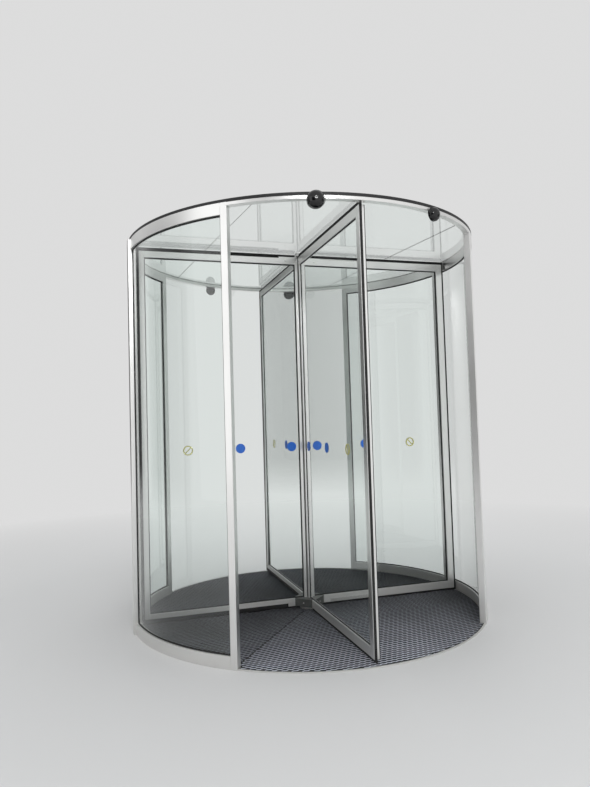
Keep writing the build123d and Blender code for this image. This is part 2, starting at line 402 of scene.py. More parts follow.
@dataclass(frozen=True)
class WornFinish(Finish):
    """A plain surface that turns from one colour to another where it is worn."""

    colour: Colour
    worn: Colour
    roughness: float
    metallic: float = 0.0
    wear: Mottle = Mottle(14.0, 5.0, 2.6, 1.2)
    wear_shows: float = 1.0
    wear_roughens: float = 0.15
    pore_scale: float = 0.0
    bump: Tuple[float, float] = (0.1, 0.0003)

    def material(self) -> bpy.types.Material:
        """Builds the material: uneven wear, and pores where the finish has any.

        Returns:
            The material.
        """
        skin = Skin(self.name)
        wear = skin.mottled(self.wear)
        looks = {
            "Base_Color": skin.mixed(wear * self.wear_shows, self.colour, self.worn),
            "Metallic": self.metallic,
            "Roughness": wear * self.wear_roughens + self.roughness,
        }
        if self.pore_scale:
            looks["Normal"] = skin.bumped(skin.noise(self.pore_scale, 2.0), *self.bump)
        return skin.finish(**looks)


@dataclass(frozen=True)
class BlackRubber(WornFinish):
    """Matt rubber with a fine skin, greyed a little where it is rubbed."""

    colour: Colour = (0.007, 0.007, 0.008, 1.0)
    worn: Colour = (0.022, 0.022, 0.021, 1.0)
    roughness: float = 0.62
    wear: Mottle = Mottle(9.0, 5.0, 2.2, 0.8)
    pore_scale: float = 900.0
    bump: Tuple[float, float] = (0.15, 0.0002)


@dataclass(frozen=True)
class SatinPaint(WornFinish):
    """Satin coating over metal, with a slight orange-peel."""

    roughness: float = 0.38
    pore_scale: float = 240.0


@dataclass(frozen=True)
class GlossPlastic(WornFinish):
    """Polished moulded plastic: a clear gloss with faint handling marks."""

    worn: Colour = (0.016, 0.016, 0.018, 1.0)
    roughness: float = 0.09
    wear: Mottle = Mottle(60.0, 4.0, 2.0, 0.8)
    wear_shows: float = 0.4
    wear_roughens: float = 0.05


@dataclass(frozen=True)
class PrintedFilm(WornFinish):
    """Thin self-adhesive film on glass, with a print that has faded unevenly."""

    roughness: float = 0.32
    wear: Mottle = Mottle(30.0, 3.0, 1.8, 0.5)
    wear_roughens: float = 0.1


@dataclass(frozen=True)
class MatRubber(Finish):
    """Dark ribbed mat rubber with dust and a painted sheen that grow towards the front opening, and painted
    shade deeper in and towards the right.
    """

    black: Colour
    dust_and_reflection_colour: Colour
    # Where the dust and painted sheen start, how far they grow towards the front, and where they fade out
    # towards the right, which is painted shade.
    sheen_and_dust_from: float = -0.05
    sheen_and_dust_over: float = 1.05
    sheen_and_dust_east: float = 1.3
    past_seam: float = 0.6
    tread_level: float = 0.0070
    tread_depth: float = 0.0008
    patches: Mottle = Mottle(1.6, 5.0, 2.4, 0.75)
    speckle: Mottle = Mottle(160.0, 3.0, 2.6, 0.9)
    sheen_and_dust_share: float = 0.6
    patch_share: float = 0.25
    speckle_share: float = 0.15
    roughness: float = 0.55
    dust_and_reflection_roughens: float = 0.2
    bump: Tuple[float, float] = (0.3, 0.0005)

    def material(self) -> bpy.types.Material:
        """Builds the material: dust and painted sheen on the tread, more to the front, patchy and speckled.

        Returns:
            The material.
        """
        skin = Skin(self.name)
        east, north, height = skin.axes()
        seam = math.radians(MAT_SEAM_DEG)
        entry = (east * math.sin(seam) - north * math.cos(seam)).over(0.0)
        # Only the rib tops take the pale colour: dust there, and a painted sheen on the tops.
        tread = ((height - self.tread_level) / self.tread_depth).clamped()
        kept = entry * (1.0 - self.past_seam) + self.past_seam
        # More towards the front opening: dust, and painted light at the opening with painted shade deeper
        # in the drum.
        sheen_and_dust_front = ((self.sheen_and_dust_from - north) / self.sheen_and_dust_over).clamped() * kept
        # Less towards the right screen: painted shade there.
        sheen_and_dust_lane = sheen_and_dust_front * (self.sheen_and_dust_east - east).clamped()
        speckle = skin.mottled(self.speckle)
        dust_and_reflection = sheen_and_dust_lane * self.sheen_and_dust_share + skin.mottled(self.patches) * self.patch_share
        cover = (dust_and_reflection + speckle * self.speckle_share) * tread
        return skin.finish(
            Base_Color=skin.mixed(cover, self.black, self.dust_and_reflection_colour),
            Roughness=cover * self.dust_and_reflection_roughens + self.roughness,
            Normal=skin.bumped(speckle, *self.bump),
        )


class Paintbox:
    """Every material of the door, made once."""

    def __init__(self) -> None:
        """Builds all the finishes."""
        finishes: Dict[str, Finish] = {
            "steel_x": BrushedSteel("wing_steel_along_x", Grain.ALONG_X, turned_deg=WINGS_REST_DEG),
            "steel_y": BrushedSteel("wing_steel_along_y", Grain.ALONG_Y, turned_deg=WINGS_REST_DEG),
            "steel_z": BrushedSteel("brushed_steel_upright", Grain.UPRIGHT),
            "steel_round": BrushedSteel("brushed_steel_round", Grain.ROUND),
            "turned": BrushedSteel("turned_steel", Grain.ROUND, roughness=0.32, coarse=2.0),
            "glass": ClearGlass("clear_glass"),
            "rubber": BlackRubber("black_rubber"),
            "brush": BlackRubber("black_brush", roughness=0.75),
            "gasket": BlackRubber("glazing_gasket", roughness=0.5),
            # The rib tops' pale bluish colour is dust and a painted reflection of the sky.
            "mat_ribs": MatRubber("mat_ribs", (0.034, 0.036, 0.039, 1.0), (0.66, 0.685, 0.77, 1.0)),
            "mat_base": MatRubber("mat_base", (0.008, 0.008, 0.009, 1.0), (0.018, 0.018, 0.020, 1.0)),
            "trim": SatinPaint("black_trim", (0.007, 0.007, 0.008, 1.0), (0.02, 0.02, 0.02, 1.0), 0.5),
            # The hub's dark grey is painted reflection: it stands in for steel faces that reflect the dark
            # mat.
            "hub": SatinPaint("hub_metal", (0.17, 0.175, 0.17, 1.0), (0.24, 0.24, 0.23, 1.0), 0.42, 0.7),
            # The shaft's near-black is painted shade: it stands in for the shade in the narrow gap between
            # the wings' stiles.
            "shaft": SatinPaint("shaft_metal", (0.05, 0.05, 0.05, 1.0), (0.09, 0.09, 0.085, 1.0)),
            "sensor": GlossPlastic("sensor_shell", (0.004, 0.004, 0.005, 1.0)),
            "blue": PrintedFilm("blue_film", (0.015, 0.15, 0.72, 1.0), (0.04, 0.22, 0.78, 1.0)),
            "yellow": PrintedFilm("yellow_film", (0.70, 0.66, 0.16, 1.0), (0.78, 0.75, 0.36, 1.0)),
            "screw": BrushedSteel("screw_steel", Grain.UPRIGHT, roughness=0.22, fine=900.0),
            "silicone": BlackRubber("seam_silicone", (0.42, 0.44, 0.43, 1.0), (0.50, 0.52, 0.51, 1.0)),
        }
        self.materials = {key: finish.material() for key, finish in finishes.items()}

    def __getitem__(self, key: str) -> bpy.types.Material:
        """The material of that key."""
        return self.materials[key]


def in_scene(name: str, data: Any) -> bpy.types.Object:
    """Makes an object in the scene.

    Args:
        name: The object's name.
        data: Its mesh, lamp or camera.

    Returns:
        The new object.
    """
    item = bpy.data.objects.new(name, data)
    bpy.context.scene.collection.objects.link(item)
    return item


class Growth(NodeMaker):
    """A geometry node tree with named sizes, which grows one plain mesh at a time."""

    direction: str = "facing"

    def __init__(self, name: str) -> None:
        """Starts an empty tree.

        Args:
            name: The tree's name.
        """
        super().__init__(bpy.data.node_groups.new(name, "GeometryNodeTree"))
        for way in ("INPUT", "OUTPUT"):
            self.tree.interface.new_socket("Geometry", in_out=way, socket_type="NodeSocketGeometry")
        self.entry = self.make("NodeGroupInput")

    def named(self, sizes: Dict[str, float]) -> List[Term]:
        """Adds named numbers to the tree's inputs.

        Args:
            sizes: Names and their values.

        Returns:
            The inputs in the same order.
        """
        for name, value in sizes.items():
            socket = self.tree.interface.new_socket(name, in_out="INPUT", socket_type="NodeSocketFloat")
            socket.default_value = value
        return [self.entry.out(name) for name in sizes]

    def place_axes(self) -> Triple:
        """Coordinates of each point."""
        return self.split(self.make("GeometryNodeInputPosition"))

    def cone(self, corners: int, top: Term, bottom: Term, depth: Term) -> Term:
        """A cone with its point cut off, which stands along Z."""
        sockets = {"Vertices": corners, "Radius Top": top, "Radius Bottom": bottom, "Depth": depth}
        return self.make("GeometryNodeMeshCone", None, sockets)

    def outwards(self) -> Term:
        """Reads the direction marked on each point.

        Returns:
            The rotation that turns Z to it.
        """
        vector = {"data_type": "FLOAT_VECTOR"}
        out = self.make("GeometryNodeInputNamedAttribute", vector, {0: self.direction})
        return self.make("FunctionNodeAlignRotationToVector", {"axis": "Z"}, {"Vector": out})

    def set_on(self, points: Term, item: Term, turn: Term) -> Term:
        """Sets an item on every point."""
        sockets = {"Points": points, "Instance": item, "Rotation": turn}
        return self.make("GeometryNodeInstanceOnPoints", None, sockets)

    def close(self, geometry: Term, material: bpy.types.Material) -> None:
        """Ends the tree: instances made real, then the material set.

        Args:
            geometry: What has been grown.
            material: Its material.
        """
        real = self.make("GeometryNodeRealizeInstances", None, {0: geometry})
        dressed = self.make("GeometryNodeSetMaterial", None, {"Geometry": real, "Material": material})
        self.make("NodeGroupOutput", None, {0: dressed})

    def marked(self, marks: Sequence[Mark], edges: Sequence[Tuple[int, int]] = ()) -> bpy.types.Mesh:
        """Makes a mesh that the tree can start from.

        Args:
            marks: Place of each point and the direction that it faces.
            edges: Pairs of points that are joined.

        Returns:
            The mesh, with the directions as an attribute.
        """
        seed = bpy.data.meshes.new(self.tree.name + "_marks")
        seed.from_pydata([tuple(place) for place, _ in marks], list(edges), [])
        attribute = seed.attributes.new(self.direction, "FLOAT_VECTOR", "POINT")
        for number, (_, out) in enumerate(marks):
            attribute.data[number].vector = out
        return seed

    def grow(
        self, name: str, sizes: Dict[str, float], seed: Optional[bpy.types.Mesh] = None
    ) -> bpy.types.Object:
        """Evaluates the tree with its sizes.

        Args:
            name: Name of the new piece.
            sizes: Values of the named inputs.
            seed: Mesh that the tree starts from.

        Returns:
            An object with a plain mesh and no modifier.
        """
        carrier = in_scene(name + "_seed", seed or bpy.data.meshes.new(name + "_seed"))
        modifier = carrier.modifiers.new("grow", "NODES")
        modifier.node_group = self.tree
        for item in self.tree.interface.items_tree:
            if item.in_out == "INPUT" and item.name in sizes:
                modifier[item.identifier] = sizes[item.name]
        bpy.context.view_layer.update()
        evaluated = carrier.evaluated_get(bpy.context.evaluated_depsgraph_get())
        mesh = bpy.data.meshes.new_from_object(evaluated)
        mesh.name = name
        carrier.modifiers.remove(modifier)
        bpy.data.objects.remove(carrier)
        return in_scene(name, mesh)


class Workshop:
    """Shared ways to dress and register pieces."""

    def __init__(self, paints: Paintbox) -> None:
        """Keeps the door's materials."""
        self.paints = paints

    def dress(self, paint: str, *nodes: str) -> None:
        """Gives solids of the frame their material.

        Args:
            paint: Key of the material.
            nodes: Names of the solids.
        """
        for node in nodes:
            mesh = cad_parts[node].data
            mesh.materials.clear()
            mesh.materials.append(self.paints[paint])
            LOG.info("dressed %s in %s", node, paint)

    def register(
        self,
        piece: bpy.types.Object,
        body: str,
        slot: str,
        paint: Optional[str] = None,
        replaced: Sequence[str] = (),
    ) -> None:
        """Makes a piece ride on its body.

        Args:
            piece: The finished object.
            body: Body that it moves with.
            slot: Name of a material slot; not used.
            paint: Key of its material, where it has none yet.
            replaced: Nodes that it stands for.
        """
        if paint:
            piece.data.materials.clear()
            piece.data.materials.append(self.paints[paint])
        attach(piece, body)
        if replaced:
            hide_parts(*replaced)
        piece.data.calc_loop_triangles()
        LOG.info("made %s: %d triangles", piece.name, len(piece.data.loop_triangles))


class Solids:
    """Collects closed forms into one list of points and faces."""

    def __init__(self) -> None:
        """Starts with nothing."""
        self.points: List[Point] = []
        self.faces: Faces = []

    def _add_tube(self, points: Sequence[Point], corners: int, closed: bool = False) -> None:
        """Adds equal rings of points with faces between them, and caps where the tube is open.

        Args:
            points: The rings' points, ring by ring.
            corners: Number of points in a ring.
            closed: Joins the last ring to the first.
        """
        first, rings = len(self.points), len(points) // corners
        self.points.extend(points)
        for ring in range(rings if closed else rings - 1):
            here, there = first + ring * corners, first + (ring + 1) % rings * corners
            for corner in range(corners):
                after = (corner + 1) % corners
                self.faces.append((here + corner, here + after, there + after, there + corner))
        if not closed:
            self.faces.append(tuple(range(first, first + corners)))
            self.faces.append(tuple(range(len(self.points) - corners, len(self.points))))

    def bar(self, section: Section, start: Point, end: Point, side: Vector) -> None:
        """Adds a straight bar of a section.

        Args:
            section: Outline as (across, out) pairs.
            start: Middle of one end.
            end: Middle of the other end.
            side: Direction of the section's second axis.
        """
        ends = (Vector(start), Vector(end))
        across = side.cross((ends[1] - ends[0]).normalized()).normalized()
        points = [tuple(place + across * u + side * v) for place in ends for u, v in section]
        self._add_tube(points, len(section))

    def arc(self, section: Section, start_deg: float, end_deg: float, steps: int) -> None:
        """Adds a bar that curves round the upright axis.

        Args:
            section: Outline as (radius, height) pairs.
            start_deg: First angle.
            end_deg: Last angle.
            steps: Number of facets along the curve.
        """
        turns = [start_deg + (end_deg - start_deg) * step / steps for step in range(steps + 1)]
        self._add_tube([tuple(polar(r, turn, z)) for turn in turns for r, z in section], len(section))

    def ring(self, section: Section, place: Matrix, steps: int) -> None:
        """Adds a closed ring turned round the Z axis of a place.

        Args:
            section: Outline as (radius, height) pairs.
            place: Middle of the ring and the way that it faces.
            steps: Number of facets round it.
        """
        turns = [360.0 * step / steps for step in range(steps)]
        points = [tuple(place @ polar(r, turn, z)) for turn in turns for r, z in section]
        self._add_tube(points, len(section), closed=True)

    def disc(self, radius: float, thickness: float, place: Matrix, steps: int) -> None:
        """Adds a flat round plate lying on the XY plane of a place.

        Args:
            radius: The plate's radius.
            thickness: The plate's thickness.
            place: Middle of its back and the way that it faces.
            steps: Number of facets round it.
        """
        turns = [360.0 * step / steps for step in range(steps)]
        points = [tuple(place @ polar(radius, turn, z)) for z in (0.0, thickness) for turn in turns]
        self._add_tube(points, steps)

    def piece(self, name: str, smooth_deg: float = 0.0) -> bpy.types.Object:
        """Makes one object of everything collected, with its faces turned outwards.

        Args:
            name: The object's name.
            smooth_deg: Angle up to which edges are shaded smooth, or 0 for flat.

        Returns:
            The new object.
        """
        mesh = bpy.data.meshes.new(name)
        mesh.from_pydata(self.points, [], self.faces)
        shape = bmesh.new()
        shape.from_mesh(mesh)
        bmesh.ops.recalc_face_normals(shape, faces=shape.faces)
        if smooth_deg:
            limit = math.radians(smooth_deg)
            for face in shape.faces:
                face.smooth = True
            for edge in shape.edges:
                edge.smooth = len(edge.link_faces) == 2 and edge.calc_face_angle() < limit
        shape.to_mesh(mesh)
        shape.free()
        return in_scene(name, mesh)


def facing(origin: Union[Point, Vector], direction: Union[Point, Vector]) -> Matrix:
    """Place whose Z axis points in a direction."""
    turn = Vector(direction).to_track_quat("Z", "Y").to_matrix().to_4x4()
    return Matrix.Translation(Vector(origin)) @ turn


def polar(radius: float, degrees: float, height: float) -> Vector:
    """Point at a radius and angle round the upright axis."""
    angle = math.radians(degrees)
    return Vector((radius * math.cos(angle), radius * math.sin(angle), height))


def oblong(left: float, right: float, low: float, high: float) -> Section:
    """Outline of an oblong."""
    return [(left, low), (right, low), (right, high), (left, high)]


def straight_box(node: str) -> Tuple[Vector, Vector]:
    """Box of a solid of the right wing, turned back to lie along the X axis.

    Args:
        node: The solid's name.

    Returns:
        The lowest and the highest corner.
    """
    turn = Wing.RIGHT.turn().inverted()
    points = [turn @ vert.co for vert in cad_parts[node].data.vertices]
    low, high = (Vector(pick(point[axis] for point in points) for axis in range(3)) for pick in (min, max))
    return low, high


RAILS_BOX = straight_box("right_wing_rails")
SEALS_BOX = straight_box("right_wing_seals")


@dataclass
class DoorSizes:
    """Sizes in metres, read from the frame or stated where no box gives them."""

    drum_r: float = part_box("ceiling_trim")[1][0]
    frame_depth: float = 0.045
    screen_glass_t: float = 0.012
    post_w: float = 0.045
    wall_post_w: float = 0.050
    opening_half_deg: float = 43.9
    bottom_rail_top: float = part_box("left_bottom_rail")[1][2]
    top_rail_low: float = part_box("left_top_rail")[0][2]
    ceiling_z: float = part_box("left_top_rail")[1][2]
    ceiling_glass_t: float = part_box("ceiling_glass")[1][2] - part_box("ceiling_glass")[0][2]
    ceiling_r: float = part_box("ceiling_glass")[1][0]
    seam_x: float = 0.756
    mat_top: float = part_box("entrance_mat")[1][2]
    mat_reach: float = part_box("entrance_mat")[1][1]
    wing_t: float = RAILS_BOX[1].y - RAILS_BOX[0].y
    hub_reach: float = 0.123
    head_seal_start: float = 0.037
    stile_inner_x: float = RAILS_BOX[1].x
    wing_low: float = RAILS_BOX[0].z
    wing_high: float = RAILS_BOX[1].z
    wing_tip: float = SEALS_BOX[1].x
    wing_foot: float = SEALS_BOX[0].z
    wing_head: float = SEALS_BOX[1].z
    rail_h: float = 0.060
    inner_stile_out: float = 0.046
    wing_glass_t: float = 0.010

    @property
    def drum_in_r(self) -> float:
        """Inner radius of the drum's frame."""
        return self.drum_r - self.frame_depth

    @property
    def glass_r(self) -> float:
        """Middle radius of the curved panes."""
        return self.drum_r - self.frame_depth / 2


@dataclass
class DrumFrame:
    """Posts, rails, headers and trim of the drum, with their glazing gaskets."""

    sizes: DoorSizes
    shop: Workshop
    posts: Tuple[str, ...] = ("front_left", "front_right", "rear_left", "rear_right")
    gasket_face: float = 0.007
    gasket_proud: float = 0.004
    arc_steps: int = 40
    smooth_deg: float = 40.0

    def dress(self) -> None:
        """Gives the solids of the drum their finishes."""
        for level in ("bottom", "top"):
            self.shop.dress("steel_round", f"left_{level}_rail", f"right_{level}_rail")
        self.shop.dress("steel_round", "front_header", "rear_header", "mat_edge_strips")
        for post in self.posts:
            self.shop.dress("steel_z", post + "_post")
            self.shop.dress("glass", post + "_glass")
        self.shop.dress("steel_z", "left_wall_post", "right_wall_post")
        self.shop.dress("glass", "ceiling_glass")
        self.shop.dress("trim", "ceiling_trim")
        self.shop.dress("turned", "floor_bearing", "top_bearing")

    def _faces(self) -> List[Tuple[float, float]]:
        """Radius of a pane's inner and outer face, and of the gasket's back on it."""
        nears = [self.sizes.glass_r + way * self.sizes.screen_glass_t / 2 for way in BOTH_WAYS]
        return [(near, near + way * self.gasket_proud) for near, way in zip(nears, BOTH_WAYS)]

    def _add_level(self, curved: Solids, span: Tuple[float, float], level: float, up: float) -> None:
        """Adds the wedges on both faces of a pane along a rail.

        Args:
            curved: Collects the gaskets.
            span: Angles between which the pane shows.
            level: Height of the rail's edge.
            up: 1 above a rail and -1 below one.
        """
        crest = level + up * self.gasket_face
        shoulder = level + up * self.gasket_face * GASKET_SHOULDER
        for near, far in self._faces():
            tip = near + (far - near) * GASKET_TIP
            section = [(near, level), (far, level), (far, shoulder), (tip, crest), (near, crest)]
            curved.arc(section, *span, self.arc_steps)

    def _add_upright(self, curved: Solids, edge_deg: float, way: float) -> None:
        """Adds the gaskets beside a post, as short arcs of a tall section.

        Args:
            curved: Collects the gaskets.
            edge_deg: Angle of the post's edge.
            way: 1 where the pane lies at larger angles, else -1.
        """
        low = self.sizes.bottom_rail_top + self.gasket_face
        high = self.sizes.top_rail_low - self.gasket_face
        width = math.degrees(self.gasket_face / self.sizes.glass_r)
        start, end = sorted((edge_deg, edge_deg + way * width))
        for near, far in self._faces():
            curved.arc(oblong(near, far, low, high), start, end, 1)

    def build(self) -> None:
        """Makes the gaskets of the four curved panes, each from an opening post to a wall post."""
        curved = Solids()
        post = math.degrees(self.sizes.post_w / 2 / self.sizes.glass_r)
        wall = math.degrees(self.sizes.wall_post_w / 2 / self.sizes.glass_r)
        edge = 90.0 - self.sizes.opening_half_deg
        for middle in (0.0, 180.0):
            for span in ((middle - edge + post, middle - wall), (middle + wall, middle + edge - post)):
                self._add_level(curved, span, self.sizes.bottom_rail_top, 1.0)
                self._add_level(curved, span, self.sizes.top_rail_low, -1.0)
                self._add_upright(curved, span[0], 1.0)
                self._add_upright(curved, span[1], -1.0)
        piece = curved.piece("drum_gaskets", self.smooth_deg)
        self.shop.register(piece, DRUM, "black_rubber", "gasket")


@dataclass
class GlassCeiling:
    """Sealant in the seams between the sheets of the glass ceiling."""

    sizes: DoorSizes
    shop: Workshop
    seam_w: float = 0.004
    shy: float = 0.001

    def build(self) -> None:
        """Fills both seams."""
        seams = Solids()
        reach = math.sqrt(self.sizes.ceiling_r**2 - (self.sizes.seam_x + self.seam_w) ** 2)
        depth = self.sizes.ceiling_glass_t - 2 * self.shy
        section = oblong(-self.seam_w / 2, self.seam_w / 2, 0.0, depth)
        level = self.sizes.ceiling_z + self.shy
        for x in (-self.sizes.seam_x, self.sizes.seam_x):
            seams.bar(section, (x, -reach, level), (x, reach, level), Vector((0, 0, 1)))
        self.shop.register(seams.piece("ceiling_seams"), DRUM, "black_rubber", "silicone")


@dataclass
class EntranceMat:
    """Sunk mat floor with rows of wave-shaped ribs, each row's wave opposite to the next."""

    sizes: DoorSizes
    shop: Workshop
    rib_height: float = 0.0045
    rib_width: float = 0.0098
    pitch: float = 0.0294
    wave: float = 0.0377
    swing: float = 0.0034
    steps_per_wave: int = 6
    bearing_clear: float = 0.079
    side_margin: float = 0.005
    post_half_deg: float = 1.3
    seam_half_gap: float = 0.004

    def build(self) -> None:
        """Makes the sunk base and the two halves of the ribs."""
        self._build_base()
        tree = self._tree()
        for half, sign in (("front", -1.0), ("rear", 1.0)):
            piece = tree.grow("mat_ribs_" + half, self._measures(sign))
            self.shop.register(piece, DRUM, "ribbed_mat")

    def _build_base(self) -> None:
        """Copies the mat with its top lowered to the foot of the ribs."""
        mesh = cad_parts["entrance_mat"].data.copy()
        shape = bmesh.new()
        shape.from_mesh(mesh)
        bmesh.ops.remove_doubles(shape, verts=shape.verts, dist=MERGE_GAP)
        for vert in shape.verts:
            if vert.co.z > self.sizes.mat_top / 2:
                vert.co.z = self.sizes.mat_top - self.rib_height
        shape.to_mesh(mesh)
        shape.free()
        self.shop.register(in_scene("mat_base", mesh), DRUM, "ribbed_mat", "mat_base", ["entrance_mat"])

    def _measures(self, half: float) -> Dict[str, float]:
        """Gathers the sizes of the ribs.

        Args:
            half: -1 for the front half of the mat and 1 for the rear half.

        Returns:
            The sizes by their names in the tree.
        """
        return {
            "Half": half,
            "Side Radius": self.sizes.drum_in_r - self.side_margin,
            "Opening Radius": self.sizes.mat_reach - self.side_margin,
            "Opening Slope": math.tan(math.radians(self.sizes.opening_half_deg - self.post_half_deg)),
            "Bearing Radius": self.bearing_clear,
            "Seam Angle": math.radians(MAT_SEAM_DEG),
            "Seam Half Gap": self.seam_half_gap,
            "Pitch": self.pitch,
            "Wave": self.wave,
            "Swing": self.swing,
            "Level": self.sizes.mat_top - self.rib_height / 2,
            "Rib Width": self.rib_width,
            "Rib Height": self.rib_height,
        }

    def _tree(self) -> Growth:
        """Geometry nodes: rows of a grid, waved, trimmed to the mat and given a section.

        Returns:
            The tree of the ribs.
        """
        tree = Growth("mat_ribs")
        (
            half, side_r, opening_r, slope, bearing_r, seam, seam_gap,
            pitch, wave, swing, level, width, height,
        ) = tree.named(self._measures(1.0))
        span = opening_r * 2.0
        rows = (opening_r / pitch).calc("FLOOR") + 1.0
        columns = (span / wave * float(self.steps_per_wave)).calc("FLOOR") + 1.0
        extent = (rows - 1.0) * pitch
        sockets = {"Size X": span, "Size Y": extent, "Vertices X": columns, "Vertices Y": rows}
        grid = tree.make("GeometryNodeMeshGrid", None, sockets)
        cut = {"domain": "EDGE", "mode": "EDGE_FACE"}
        rows_only = tree.make("GeometryNodeDeleteGeometry", cut, {0: grid, 1: self._row_crossings(tree)})
        x, y, _ = tree.place_axes()
        depth = (y + extent * 0.5 + pitch * 0.5) * half
        parity = ((y / pitch + rows * 0.5).calc("ROUND") * 0.5).calc("FRACT") * 2.0
        lift = (x / wave * TAU + parity * math.pi).calc("SINE") * swing
        place = tree.joined(x, depth + lift, level)
        waved = tree.make("GeometryNodeSetPosition", None, {0: rows_only, 2: place})
        x, y, _ = tree.place_axes()
        radius = x.with_side(y)
        in_opening = (y.calc("ABSOLUTE") * slope).over(x.calc("ABSOLUTE"))
        limit = side_r + (opening_r - side_r) * in_opening
        off_seam = (x * seam.calc("SINE") - y * seam.calc("COSINE")).calc("ABSOLUTE")
        outside = radius.over(limit) + (1.0 - radius.over(bearing_r)) + (1.0 - off_seam.over(seam_gap))
        cut = {"domain": "POINT", "mode": "ALL"}
        trimmed = tree.make("GeometryNodeDeleteGeometry", cut, {0: waved, 1: outside})
        curve = tree.make("GeometryNodeMeshToCurve", None, {0: trimmed})
        level_curve = tree.make("GeometryNodeSetCurveNormal", {"mode": "Z_UP"}, {0: curve})
        outline = {0: width, 1: height}
        profile = tree.make("GeometryNodeCurvePrimitiveQuadrilateral", {"mode": "RECTANGLE"}, outline)
        ribs = tree.make("GeometryNodeCurveToMesh", None, {0: level_curve, 1: profile, "Fill Caps": True})
        tree.close(ribs, self.shop.paints["mat_ribs"])
        return tree

    @staticmethod
    def _row_crossings(tree: Growth) -> Term:
        """Finds the grid's edges that run from row to row.

        Args:
            tree: The tree of the ribs.

        Returns:
            1 on those edges, else 0.
        """
        ends = tree.make("GeometryNodeInputMeshEdgeVertices")
        rows = [tree.split(ends.out(key))[1] for key in ("Position 1", "Position 2")]
        return (rows[0] - rows[1]).calc("ABSOLUTE").over(ROW_GAP)


@dataclass
class ScrewHeads:
    """Round screw heads with a hexagon socket, grown on marked points."""

    shop: Workshop
    marks: Dict[str, List[Mark]] = field(default_factory=dict)
    head_r: float = 0.0065
    head_h: float = 0.0030
    socket_r: float = 0.0034
    head_taper: float = 0.82
    head_corners: int = 18
    socket_corners: int = 6
    socket_lift: float = 1.3

    def mark(self, body: str, place: Vector, out: Vector) -> None:
        """Notes one screw by the middle of its seat and the direction it faces."""
        self.marks.setdefault(body, []).append((place, out))

    def _tree(self, sizes: Dict[str, float]) -> Growth:
        """Geometry nodes: one head with its socket cut out, set on every point.

        Args:
            sizes: The head's named sizes.

        Returns:
            The tree of the heads.
        """
        tree = Growth("screw_heads")
        head_r, head_h, socket_r = tree.named(sizes)
        head = tree.cone(self.head_corners, head_r * self.head_taper, head_r, head_h)
        sockets = {"Vertices": self.socket_corners, "Radius": socket_r, "Depth": head_h}
        socket = tree.make("GeometryNodeMeshCylinder", None, sockets)
        lift = tree.joined(0.0, 0.0, head_h * self.socket_lift)
        raised = tree.make("GeometryNodeTransform", None, {0: socket, "Translation": lift})
        cut = tree.make("GeometryNodeMeshBoolean", {"operation": "DIFFERENCE"}, {0: head, 1: raised})
        placed = tree.set_on(tree.entry.out("Geometry"), cut, tree.outwards())
        tree.close(placed, self.shop.paints["screw"])
        return tree

    def build(self) -> None:
        """Grows the heads of each body as one mesh."""
        sizes = {"Head Radius": self.head_r, "Head Height": self.head_h, "Socket Radius": self.socket_r}
        tree = self._tree(sizes)
        for body, marks in self.marks.items():
            piece = tree.grow(body + "_screws", sizes, tree.marked(marks))
            self.shop.register(piece, body, "brushed_stainless")


@dataclass
class BrushFringe:
    """Bristles that stand out of the edge seals of one wing."""

    sizes: DoorSizes
    shop: Workshop
    spacing: float = 0.0045
    bristle_r: float = 0.0009
    reach: float = 0.008
    rows: Tuple[float, ...] = (-0.0136, -0.0107, -0.0078, -0.0049)
    proud: float = 0.0022
    end_gap: float = 0.004
    lean: float = 0.16
    twist: float = 3.0
    seed: int = 7
    corners: int = 3
    taper: float = 0.4

    def _measures(self) -> Dict[str, float]:
        """Named sizes of the bristles."""
        return {"Spacing": self.spacing, "Bristle Radius": self.bristle_r, "Reach": self.reach}

    def tree(self) -> Growth:
        """Geometry nodes: a leaning bristle at even steps along the marked lines.

        Returns:
            The tree of the fringe.
        """
        tree = Growth("brush_fringe")
        spacing, radius, reach = tree.named(self._measures())
        curve = tree.make("GeometryNodeMeshToCurve", None, {0: tree.entry.out("Geometry")})
        steps = {"Curve": curve, "Length": spacing}
        points = tree.make("GeometryNodeResampleCurve", {"mode": "LENGTH"}, steps)
        least, most = (-self.lean, -self.lean, 0.0), (self.lean, self.lean, self.twist)
        limits = {0: least, 1: most, "Seed": self.seed}
        lean = tree.make("FunctionNodeRandomValue", {"data_type": "FLOAT_VECTOR"}, limits)
        turns = {0: tree.outwards(), 1: lean}
        leaning = tree.make("FunctionNodeRotateRotation", {"rotation_space": "LOCAL"}, turns)
        bristle = tree.cone(self.corners, radius * self.taper, radius, reach)
        tree.close(tree.set_on(points, bristle, leaning), self.shop.paints["brush"])
        return tree

    def build(self, wing: Wing, tree: Growth) -> None:
        """Grows the fringe of one wing.

        Args:
            wing: The wing.
            tree: The tree of the fringe.
        """
        s = self.sizes
        sunk = self.reach - self.proud
        foot, tip, head = s.wing_foot + sunk, s.wing_tip - sunk, s.wing_head - sunk
        foot_start, head_start = s.hub_reach + self.end_gap, s.head_seal_start + self.end_gap
        runs = []
        for y in self.rows:
            runs.append(((foot_start, y, foot), (s.wing_tip, y, foot), (0, 0, -1)))
            runs.append(((tip, y, s.wing_foot), (tip, y, s.wing_head), (1, 0, 0)))
            runs.append(((head_start, y, head), (s.wing_tip, y, head), (0, 0, 1)))
        turn = wing.turn()
        spin = turn.to_3x3()
        marks = [(turn @ Vector(end), spin @ Vector(out)) for *ends, out in runs for end in ends]
        seed = tree.marked(marks, [(n, n + 1) for n in range(0, len(marks), 2)])
        piece = tree.grow(wing.label + "_wing_bristles", self._measures(), seed)
        self.shop.register(piece, WINGS, "black_rubber")


